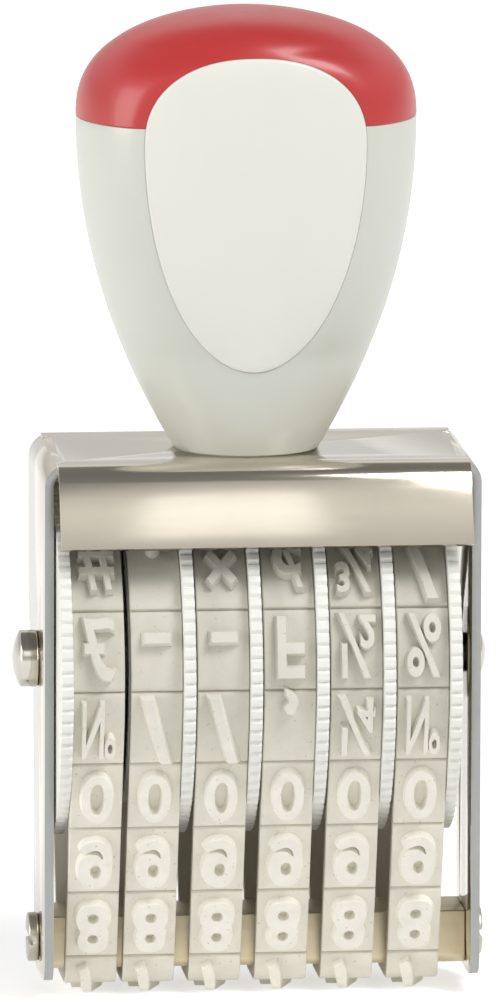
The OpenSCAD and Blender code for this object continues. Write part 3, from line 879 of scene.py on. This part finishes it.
def letter_shape(sign, settings):
    """A character as a solid with drafted sides: x to the right, y up, and z from 0 at its foot
    to 1 at its top, with a little more below."""
    height = settings.type_height / MM
    width = WIDTHS.get(sign)
    draft = settings.draft / MM
    clear()
    piece = drawn_character(sign, width, height) if sign in DRAWN else font_character(sign, height)
    piece.data.bevel_depth = draft
    piece.data.bevel_resolution = 0
    bpy.ops.object.convert(target="MESH")
    piece = bpy.context.object
    top = [v.co for v in piece.data.vertices if v.co.z > draft * TOP_FROM]
    low_x, high_x = min(p.x for p in top), max(p.x for p in top)
    low_y, high_y = min(p.y for p in top), max(p.y for p in top)
    wide = width / (high_x - low_x) if width else 1
    tall = TALL[sign] / (high_y - low_y) if sign in TALL else 1
    middle_x = (low_x + high_x) / 2
    middle_y = (low_y + high_y) / 2 if sign in TALL else 0 if sign in DRAWN else height / 2
    for v in piece.data.vertices:
        v.co = ((v.co.x - middle_x) * wide, (v.co.y - middle_y) * tall, max(v.co.z / draft, FOOT))
    edit(piece, lambda: bpy.ops.mesh.remove_doubles(threshold=CHARACTER_MERGE))
    return piece


def band_block(loop, settings, width):
    """One character's stretch of the bare band, lying along x from 0, with a groove at either end."""
    groove = settings.groove_width / MM / 2
    depth = settings.groove_depth / MM
    chamfer = settings.chamfer / MM
    lip = groove + chamfer
    flat = loop.pitch - 2 * lip
    end = [(0, depth), (groove, chamfer * GROOVE_LIP), (lip, 0)]
    cuts = end + [(lip + flat * i / BAND_STEPS, 0) for i in range(1, BAND_STEPS)]
    cuts += [(loop.pitch - x, down) for x, down in reversed(end)]

    def place(ring, corner):
        x, down = cuts[ring]
        side = width / 2
        y, z = [(0.0, -side), (0.0, 0.0), (0.0, side), (loop.band - down - chamfer, side),
                (loop.band - down, side - chamfer), (loop.band - down, 0.0),
                (loop.band - down, chamfer - side), (loop.band - down - chamfer, -side)][corner]
        return Vector((x, y, z))
    block = stack("band_block", BAND_SIDES, len(cuts), place)
    pick(block)
    bpy.ops.object.mode_set(mode="EDIT")
    bpy.ops.mesh.select_all(action="DESELECT")
    bpy.ops.object.mode_set(mode="OBJECT")
    for face in block.data.polygons:
        face.select = len(face.vertices) == BAND_SIDES
    bpy.ops.object.mode_set(mode="EDIT")
    bpy.ops.mesh.select_mode(type="FACE")
    bpy.ops.mesh.delete(type="ONLY_FACE")
    bpy.ops.mesh.select_mode(type="VERT")
    bpy.ops.object.mode_set(mode="OBJECT")
    return block


def loop_curve(loop, start):
    """The loop as a closed path that starts at the given distance from the anvil's middle."""
    data = bpy.data.curves.new("band_path", "CURVE")
    path = bpy.data.objects.new("band_path", data)
    bpy.context.scene.collection.objects.link(path)
    data.dimensions = "2D"
    spline = data.splines.new("POLY")
    spline.points.add(PATH_POINTS - 1)
    spline.use_cyclic_u = True
    for i, point in enumerate(spline.points):
        y, z = loop.at(start + 2 * loop.half * i / PATH_POINTS)
        point.co = (y, z, 0, 1)
    return path


class NUMBERING_OT_number_bands(bpy.types.Operator):
    """Moulds the rubber bands with their characters and lays them round drums and anvil"""
    bl_idname = "numbering.number_bands"
    bl_label = "Number Bands"

    def execute(self, context):
        settings = context.scene.band_settings
        loop = Loop(settings)
        start = settings.shift / MM - loop.pitch / 2
        width = (BAND_HIGH.x - BAND_LOW.x) / MM
        path = loop_curve(loop, start)
        plain = band_block(loop, settings, width)
        modify(plain, "ARRAY", count=TYPES, use_relative_offset=False, use_constant_offset=True,
               constant_offset_displace=(loop.pitch, 0, 0), use_merge_vertices=True,
               merge_threshold=STRIP_MERGE)
        stamps = {}
        material = rubber(settings)
        for band in range(BANDS):
            signs = FIRST + SIGNS[band] + LAST
            parts = []
            strip = plain.copy()
            strip.data = plain.data.copy()
            context.scene.collection.objects.link(strip)
            for i, sign in enumerate(signs):
                if sign not in stamps:
                    stamps[sign] = self.lay(letter_shape(sign, settings), loop)
                stamp = stamps[sign].copy()
                stamp.data = stamps[sign].data.copy()
                stamp.data.transform(Matrix.Translation(((i + 0.5) * loop.pitch, 0, 0)))
                context.scene.collection.objects.link(stamp)
                parts.append(stamp)
            clear()
            for part in parts:
                part.select_set(True)
            strip.select_set(True)
            context.view_layer.objects.active = strip
            bpy.ops.object.join()
            strip.name = f"rubber_band_{band + 1}"
            self.bend(strip, path, loop)
            low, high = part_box(f"number_band_{band + 1}")
            strip.data.transform(Matrix.Translation(((low.x + high.x) / 2, 0, 0)))
            only_material(strip, material)
            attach(strip, "root")
            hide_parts(f"number_band_{band + 1}")
        for spare in [path, plain, *stamps.values()]:
            bpy.data.objects.remove(spare)
        return {"FINISHED"}

    def lay(self, piece, loop):
        """Turns a character so that it stands on the flat band, mirrored, and slices it to bend well."""
        for v in piece.data.vertices:
            x, y, z = v.co
            v.co = (-y, loop.band + z * loop.relief, x)
        reach = max(abs(v.co.x) for v in piece.data.vertices)
        steps = math.ceil(2 * reach / SLICE)

        def slices():
            bpy.ops.mesh.normals_make_consistent(inside=False)
            for i in range(1, steps):
                bpy.ops.mesh.select_all(action="SELECT")
                bpy.ops.mesh.bisect(plane_co=(-reach + 2 * reach * i / steps, 0, 0), plane_no=(1, 0, 0))
        edit(piece, slices)
        return piece

    def bend(self, strip, path, loop):
        """Bends a straight band along its path, joins its two ends and brings it to metres."""
        relief = strip.data.attributes.new("relief", "FLOAT", "POINT")
        relief.data.foreach_set("value", [v.co.y / (loop.band + loop.relief) for v in strip.data.vertices])
        modify(strip, "CURVE", object=path, deform_axis="POS_X")

        def join_ends():
            bpy.ops.mesh.select_all(action="DESELECT")
            bpy.ops.mesh.select_non_manifold()
            bpy.ops.mesh.remove_doubles(threshold=ENDS_MERGE)
            bpy.ops.mesh.select_all(action="SELECT")
            bpy.ops.mesh.dissolve_degenerate(threshold=SLIVER)
        edit(strip, join_ends)
        strip.data.transform(FROM_LOOP)
        face_out(strip)
        smooth(strip, degrees=32)


# ---- Stage ----

FLOOR_SIDE = 12      # side of the square floor
FLOOR_NEAR, FLOOR_FAR = 0.03, 0.45  # the glow grows from its shaded share to its whole between these
# Lamps: the place from the point that they light, and the side of the square
LAMPS = {
    "key": (Vector((0.314, -0.304, 0.521)), 0.27),
    "fill": (Vector((-0.634, -0.17, 0.176)), 0.42),
    "panel": (Vector((0.011, -0.606, 0.309)), 0.22),
}
LIT_POINT = Vector((0, 0, 0.045))
# The sky that metal and gloss mirror: the sine of a height above the horizon, and how bright
SKY_STOPS = [(0.04, 1.0), (0.15, 0.62), (0.5, 0.95), (0.61, 0.82), (0.7, 0.27), (1, 0.22)]
SKY_TINT = (1, 1, 0.98)
SENSOR = 36          # width of the camera's sensor in millimetres
CLIP_START, CLIP_END = 0.05, 50     # nearest and furthest that the camera sees


class NUMBERING_OT_stage(bpy.types.Operator):
    """Sets up the floor, the light and the camera"""
    bl_idname = "numbering.stage"
    bl_label = "Stage"

    def execute(self, context):
        s = context.scene.stage_settings
        scene = context.scene
        scene.view_settings.view_transform = "Standard"
        self.floor(s)
        self.sky(s)
        for name, (place, size) in LAMPS.items():
            self.lamp(name, place, size, getattr(s, name))
        self.camera(s)
        return {"FINISHED"}

    def floor(self, s):
        """A matt floor with a glow that only the camera, mirrors and glass see, and a little light
        that it throws up."""
        clear()
        bpy.ops.mesh.primitive_plane_add(size=FLOOR_SIDE, location=(0, 0, 0))
        floor = bpy.context.object
        floor.name = "floor"
        finish = Finish("floor", Roughness=0.9, Specular_IOR_Level=0.0)
        tint = finish.spread(finish.noise(0.4), 0, 1)
        finish.color(finish.blend(tint, shade(s.floor_color, 0.99), s.floor_color))
        ray = finish.node("ShaderNodeLightPath")
        seen = finish.work_out("MAXIMUM", (ray, "Is Camera Ray"), (ray, "Is Glossy Ray"))
        seen = finish.work_out("MAXIMUM", seen, (ray, "Is Transmission Ray"))
        away = finish.node("ShaderNodeVectorMath", operation="LENGTH")
        finish.link(finish.place, "Object", away, 0)
        shaded = s.floor_glow * s.floor_shade
        glow = finish.spread((away, "Value"), shaded, s.floor_glow, FLOOR_NEAR, FLOOR_FAR)
        lit = finish.work_out("MULTIPLY", glow, seen)
        thrown = finish.work_out("MULTIPLY_ADD", (ray, "Is Diffuse Ray"), s.floor_bounce, lit)
        finish.link(*thrown, finish.shader, "Emission Strength")
        finish.shader.inputs["Emission Color"].default_value = (1, 1, 1, 1)
        finish.material.cycles.emission_sampling = "NONE"
        only_material(floor, finish.material)

    def sky(self, s):
        """An even light on matt surfaces, and a sky that darkens upwards for metal and gloss."""
        world = bpy.data.worlds.new("studio")
        bpy.context.scene.world = world
        world.use_nodes = True
        tree = world.node_tree
        tree.nodes.clear()
        place = tree.nodes.new("ShaderNodeTexCoord")
        split = tree.nodes.new("ShaderNodeSeparateXYZ")
        ramp = tree.nodes.new("ShaderNodeValToRGB")
        ray = tree.nodes.new("ShaderNodeLightPath")
        even = tree.nodes.new("ShaderNodeMix")
        even.data_type = "RGBA"
        light = tree.nodes.new("ShaderNodeBackground")
        out = tree.nodes.new("ShaderNodeOutputWorld")
        set_stops(ramp, SKY_STOPS, SKY_TINT)
        even.inputs[MIX_SECOND].default_value = (s.sky, s.sky, s.sky, 1)
        for source, output, target, socket in (
                (place, "Generated", split, "Vector"), (split, "Z", ramp, "Fac"),
                (ray, "Is Diffuse Ray", even, MIX_FACTOR), (ramp, "Color", even, MIX_FIRST),
                (even, MIX_RESULT, light, "Color"), (light, "Background", out, "Surface")):
            tree.links.new(source.outputs[output], target.inputs[socket])

    def lamp(self, name, place, size, power):
        data = bpy.data.lights.new(name, "AREA")
        data.size = size
        data.energy = power
        lamp = bpy.data.objects.new(name, data)
        bpy.context.scene.collection.objects.link(lamp)
        lamp.location = LIT_POINT + place
        lamp.rotation_euler = (-place).to_track_quat("-Z", "Y").to_euler()

    def camera(self, s):
        data = bpy.data.cameras.new("camera")
        camera = bpy.data.objects.new("camera", data)
        bpy.context.scene.collection.objects.link(camera)
        away = Vector((math.sin(s.azimuth) * math.cos(s.elevation),
                       -math.cos(s.azimuth) * math.cos(s.elevation), math.sin(s.elevation)))
        camera.location = Vector(s.aim) + away * s.distance
        camera.rotation_euler = (-away).to_track_quat("-Z", "Y").to_euler()
        data.sensor_width = SENSOR
        data.lens = SENSOR * s.distance / s.picture_height
        data.clip_start = CLIP_START
        data.clip_end = CLIP_END
        bpy.context.scene.camera = camera


class NUMBERING_PT_panel(bpy.types.Panel):
    """Lists the steps that dress the numbering machine"""
    bl_idname = "NUMBERING_PT_panel"
    bl_label = "Numbering Machine"
    bl_space_type = "VIEW_3D"
    bl_region_type = "UI"
    bl_category = "Numbering Machine"

    def draw(self, context):
        for group in SETTINGS:
            settings = getattr(context.scene, group)
            box = self.layout.box()
            for name in settings.__annotations__:
                box.prop(settings, name)
        for step in STEPS:
            self.layout.operator(step.bl_idname)


SETTINGS = {
    "stage_settings": StageSettings,
    "grip_settings": GripSettings,
    "band_settings": BandSettings,
    "metal_settings": MetalSettings,
    "wheel_settings": WheelSettings,
}
STEPS = (NUMBERING_OT_stage, NUMBERING_OT_grip_body, NUMBERING_OT_grip_cap, NUMBERING_OT_label_plate,
         NUMBERING_OT_sheet_frame, NUMBERING_OT_fittings, NUMBERING_OT_thumb_wheels,
         NUMBERING_OT_number_bands)


def register():
    for cls in (*SETTINGS.values(), *STEPS, NUMBERING_PT_panel):
        bpy.utils.register_class(cls)
    for name, cls in SETTINGS.items():
        setattr(bpy.types.Scene, name, PointerProperty(type=cls))


def unregister():
    for name in SETTINGS:
        delattr(bpy.types.Scene, name)
    for cls in reversed((*SETTINGS.values(), *STEPS, NUMBERING_PT_panel)):
        bpy.utils.unregister_class(cls)


def main():
    register()
    bpy.ops.numbering.stage()
    bpy.ops.numbering.grip_body()
    bpy.ops.numbering.grip_cap()
    bpy.ops.numbering.label_plate()
    bpy.ops.numbering.sheet_frame()
    bpy.ops.numbering.fittings()
    bpy.ops.numbering.thumb_wheels()
    bpy.ops.numbering.number_bands()


if __name__ == "__main__":
    main()
